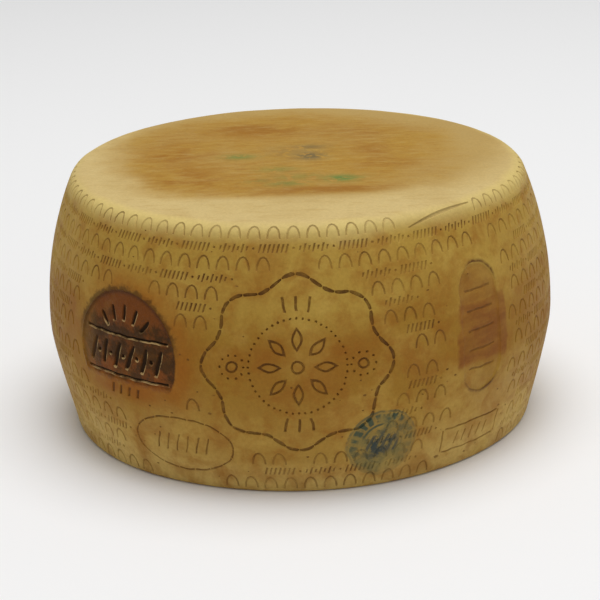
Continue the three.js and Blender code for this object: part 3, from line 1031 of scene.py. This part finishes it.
def stamp_rings(n, x, y, out):
    """Two rings with spokes between them, and blots. They are broken, and strongest at the upper left."""
    def band(middle, half):
        from_line = n.math("ABSOLUTE", n.plus(out, -middle * MM))
        return n.ramp(from_line, (half + 0.5) * MM, (half - 0.6) * MM)
    waves = n.math("SINE", n.times(n.math("ARCTAN2", y, x), STAMP_SPOKES))
    spokes = n.times(n.ramp(waves, -0.8, 0.3), band(23.6, 3.6))
    lines = n.larger(n.times(band(29.5, 1.1), 0.7), band(17.6, 1.0))
    lines = n.times(n.larger(lines, spokes), n.ramp(n.noise(75, 4, 0.6), 0.38, 0.56, 0.1, 1.0))
    blots = n.times(n.ramp(out, 0.031, 0.022), n.ramp(n.noise(80, 4, 0.7), 0.48, 0.62, 0.0, 0.85))
    hard = n.ramp(n.plus(n.times(x, -8.0), n.times(y, 20.0)), -0.25, 0.4, 0.35, 1.0)
    return n.times(n.larger(lines, blots), hard)


def stamp_middle(n, x, y, out):
    """A few leaning bars with a blot over them."""
    waves = n.math("SINE", n.times(n.plus(x, n.times(y, -0.5)), 1000.0))
    room = n.times(n.ramp(n.math("ABSOLUTE", y), 0.0085, 0.0070), n.ramp(out, 0.0155, 0.0135))
    bars = n.times(n.ramp(waves, -0.3, 0.3), room, 0.75)
    slanting = n.length(n.times(n.plus(x, y), 0.55), n.plus(x, n.times(y, -1.0)))
    blot = n.times(n.ramp(slanting, 0.018, 0.008), n.ramp(n.noise(110, 4, 0.7), 0.44, 0.56, 0.0, 0.9))
    return n.larger(blot, bars)


def stamped(n, base):
    """Adds the round stamp's ink, over a thin wash of it."""
    x, y = n.from_mark(STAMP)
    smear = n.wobble(0.005, 90, 2)
    x = n.plus(x, smear)
    y = n.plus(y, smear)
    out = n.length(x, y)
    wash = n.times(n.ramp(out, 0.032, 0.025), n.ramp(n.noise(60, 4), 0.35, 0.6, 0.3, 0.65))
    base = n.mix(wash, base, INK_WASH)
    base = n.mix(n.times(stamp_rings(n, x, y, out), 0.9), base, INK_TEAL)
    return n.mix(n.times(stamp_middle(n, x, y, out), 0.9), base, INK_BLUE)


def round_burn(n):
    """The round brand: how burnt its floor is, how charred its edge, and how far its heat has browned."""
    x, y = n.from_mark(ROUND_BRAND)
    ragged = n.wobble(0.010, 230, 3, 0.6)
    past_arc = n.plus(n.length(x, y), -ROUND_BRAND_RADIUS * MM)
    past_cut = n.plus(n.times(y, -1.0), ROUND_BRAND_CUT * MM)
    floor = n.times(n.ramp(n.plus(past_arc, n.times(ragged, 0.25)), 0.0012, -0.0008),
                    n.ramp(n.plus(past_cut, n.times(ragged, 0.6)), 0.0045, -0.0020),
                    n.ramp(x, -0.054, -0.024, 0.55, 1.0))
    char = n.times(n.ramp(n.plus(past_arc, ragged), 0.0055, 0.001), n.ramp(y, -0.004, 0.026, 0, 0.8),
                   n.ramp(past_arc, -0.004, 0.0, 0.3, 1.0))
    inner_char = n.times(n.ramp(past_arc, -0.0055, -0.0005), n.ramp(y, -0.01, 0.03, 0.12, 0.5))
    glow = n.times(n.ramp(n.larger(past_arc, past_cut), 0.026, 0.001),
                   n.ramp(n.plus(x, n.times(y, 0.4)), -0.045, 0.03, 0.25, 1.0))
    return floor, n.larger(char, n.times(inner_char, floor)), glow


def tall_toast(n):
    """How toasted the rind is by the tall brand: its panel, and a wider band across the panel's middle."""
    x, y = n.from_mark(TALL_BRAND)
    half_width, half_height = TALL_BRAND_HALF
    past = n.larger(n.plus(n.math("ABSOLUTE", y), (half_width - half_height) * MM), 0.0)
    panel = n.times(n.ramp(n.length(x, past), (half_width + 0.5) * MM, (half_width - 2) * MM),
                    n.ramp(y, -0.034, -0.022, 0.15, 0.62))
    wobble = n.wobble(0.010, 60, 4, 0.6)
    right = n.plus(x, -0.001, wobble)
    left = n.plus(n.times(right, -1.0), n.ramp(y, -0.002, 0.006, 0.0, 0.004))
    above = n.math("ABSOLUTE", n.plus(y, 0.002, n.times(wobble, 0.5)))
    band = n.times(n.ramp(n.larger(left, right), 0.0305, 0.0265), n.ramp(above, 0.028, 0.023))
    return n.larger(panel, n.times(band, n.ramp(y, 0.024, -0.01, 0.92, 1.0)))


def toasted(n, base, glow):
    """Adds the brown that the two hot brands left: round the round one, and in and beside the tall one."""
    base = n.mix(n.times(glow, n.ramp(n.noise(40, 4), 0.3, 0.6, 0.35, 0.8)), base, GLOW_BROWN)
    toast = n.mix(n.ramp(n.noise(90, 4, 0.6, stretch=(0.4, 0.4, 1.5)), 0.28, 0.62), TOAST_BROWN, TOAST_RED)
    return n.mix(n.times(tall_toast(n), n.ramp(n.noise(34, 5, 0.65), 0.3, 0.6, 0.7, 1.0)), base, toast)


def burned(n, base, height, floor, char):
    """Adds the round brand's burnt floor, redder above and below its middle, and its charred edge."""
    middle = ROUND_BRAND[1] * MM
    above = n.ramp(height, middle + 0.016, middle + 0.040, -0.09, 0.20)
    below = n.ramp(height, middle + 0.004, middle - 0.020, -0.09, 0.02)
    redder = n.plus(n.noise(70, 5, 0.7), n.larger(above, below))
    burn = n.mix(n.ramp(redder, 0.38, 0.62), SCORCH_DARK, SCORCH_RED)
    base = n.mix(n.times(floor, n.ramp(n.noise(50, 4), 0.25, 0.5, 0.8, 1.0)), base, burn)
    return n.mix(n.times(char, 0.8), base, CHAR)


def pressed(n, base, floor):
    """Adds the brown of the pressed lines, which are charred in the burnt floor, and the painted highlight
    on their lips.
    """
    mark = n.value_of("mark")
    shown = n.times(mark, n.ramp(n.noise(30, 3), 0.3, 0.65, 0.55, 0.95),
                    n.ramp(n.noise(190, 3, 0.6), 0.36, 0.6, 0.6, 1.0))
    base = n.mix(n.larger(shown, n.times(floor, mark)), base, n.mix(floor, LINE_BROWN, CHAR))
    # Painted highlight: a lighter colour along the lower right lips of the lines in the burnt floor.
    painted_highlight = n.times(n.ramp(n.value_of("lip"), 0.1, 0.5), n.ramp(n.noise(110, 4, 0.6), 0.40, 0.60, 0.1, 0.9))
    return n.mix(n.times(painted_highlight, floor), base, LIP_HIGHLIGHT)


def speckled(n, base):
    speckle = n.ramp(n.noise(420, 3, 0.7), 0.3, 0.7, 0.94, 1.05)
    shade = n.filled(n.add("CombineColor"), speckle, speckle, speckle)
    return n.mix(1.0, base, shade, blend="MULTIPLY")


def rind_bump(n, burn):
    """Fine grain, pores, the faint brushing of the surface, and a rougher skin where it is burnt."""
    grain = n.times(n.noise(700, 3, 0.6), 0.35)
    leather = n.noise(160, 4, 0.6)
    brushed = n.times(n.noise(60, 3, 0.5, stretch=(0.3, 0.3, 3.0)), 0.8)
    burnt = n.times(burn, n.times(n.noise(170, 5, 0.7), 7.0))
    height = n.plus(grain, leather, brushed, burnt)
    return n.add("Bump", Strength=1.0, Distance=0.00022, Height=height).outputs["Normal"]


def rind_material():
    n = Nodes("rind")
    x, y, height = n.split(n.position())
    wobble = n.wobble(0.016, 16, 4)
    # The rim is painted pale: partly its own paler colour, partly a painted highlight along it.
    base = n.mix(n.ramp(n.plus(height, wobble), 0.199, 0.217), side_colour(n), RIM_PALE_AND_HIGHLIGHT)
    on_top = n.times(n.ramp(n.plus(n.length(x, y), wobble), 0.190, 0.178), n.ramp(height, 0.19, 0.2))
    base = n.mix(on_top, base, top_colour(n))
    floor, char, glow = round_burn(n)
    base = toasted(n, base, glow)
    base = burned(n, base, height, floor, char)
    base = pressed(n, base, floor)
    base = speckled(n, stamped(n, base))
    roughness = n.ramp(n.noise(24, 4), 0.3, 0.7, 0.5, 0.66)
    return n.coat({"Base Color": base, "Roughness": roughness, "Specular IOR Level": 0.12,
                   "Normal": rind_bump(n, floor)})


# ==== Floor, light and camera ====

WHEEL_MIDDLE = Vector((0, 0, HEIGHT / 2 * MM))
CAMERA_DISTANCE = 1.714
CAMERA_ELEVATION = radians(18.64)
CAMERA_ROLL = radians(-1.72)
FOCAL_PIXELS = 1992.0
FRAME_PIXELS = 600.0
MIDDLE_AT = (-0.4, 19.0)  # where the wheel's middle shows, right of and above the picture's, before the roll
FLOOR_WIDTH = 24.0
SKY_STRENGTH = 0.3
LIGHTS = (("overhead", (0.3, 0.0, 4.6), 4.0, 176), ("front", (1.2, -2.4, 1.4), 1.6, 4))  # place, size, power


def make_floor():
    mesh = bpy.data.meshes.new("floor")
    corners = [(x, y, 0.0) for x, y in rectangle(FLOOR_WIDTH, FLOOR_WIDTH).tolist()]
    mesh.from_pydata(corners, [], [(0, 1, 2, 3)])
    mesh.materials.append(Nodes("floor").coat({"Base Color": (0.9, 0.9, 0.9, 1), "Roughness": 0.8}))
    add_object("floor", mesh)


def make_light(name, place, size, power):
    lamp = bpy.data.lights.new(name, "AREA")
    lamp.shape = "DISK"
    lamp.size = size
    lamp.energy = power
    light = add_object(name, lamp)
    light.location = place
    light.rotation_euler = (WHEEL_MIDDLE - Vector(place)).to_track_quat("-Z", "Y").to_euler()


def make_world():
    world = bpy.data.worlds.new("studio")
    world.use_nodes = True
    background = world.node_tree.nodes["Background"]
    background.inputs["Color"].default_value = (1, 1, 1, 1)
    background.inputs["Strength"].default_value = SKY_STRENGTH
    bpy.context.scene.world = world


def make_camera():
    camera = bpy.data.cameras.new("camera")
    camera.sensor_width = 36.0
    camera.lens = FOCAL_PIXELS / FRAME_PIXELS * camera.sensor_width
    up = Vector((0, sin(CAMERA_ELEVATION), cos(CAMERA_ELEVATION)))
    back = Vector((0, -cos(CAMERA_ELEVATION), sin(CAMERA_ELEVATION)))
    place = WHEEL_MIDDLE + back * CAMERA_DISTANCE
    aside, above = MIDDLE_AT
    aim = WHEEL_MIDDLE - (Vector((aside, 0, 0)) + up * above) * (CAMERA_DISTANCE / FOCAL_PIXELS)
    turn = (aim - place).to_track_quat("-Z", "Y").to_matrix().to_4x4()
    eye = add_object("camera", camera)
    eye.matrix_world = Matrix.Translation(place) @ turn @ Matrix.Rotation(CAMERA_ROLL, 4, "Z")
    bpy.context.scene.camera = eye


make_camera()
make_floor()
make_world()
for light in LIGHTS:
    make_light(*light)
bpy.context.scene.view_settings.view_transform = "Standard"

rind = rind_object()
rind.data.materials.append(rind_material())
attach(rind, "root")
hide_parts("cheese_wheel")
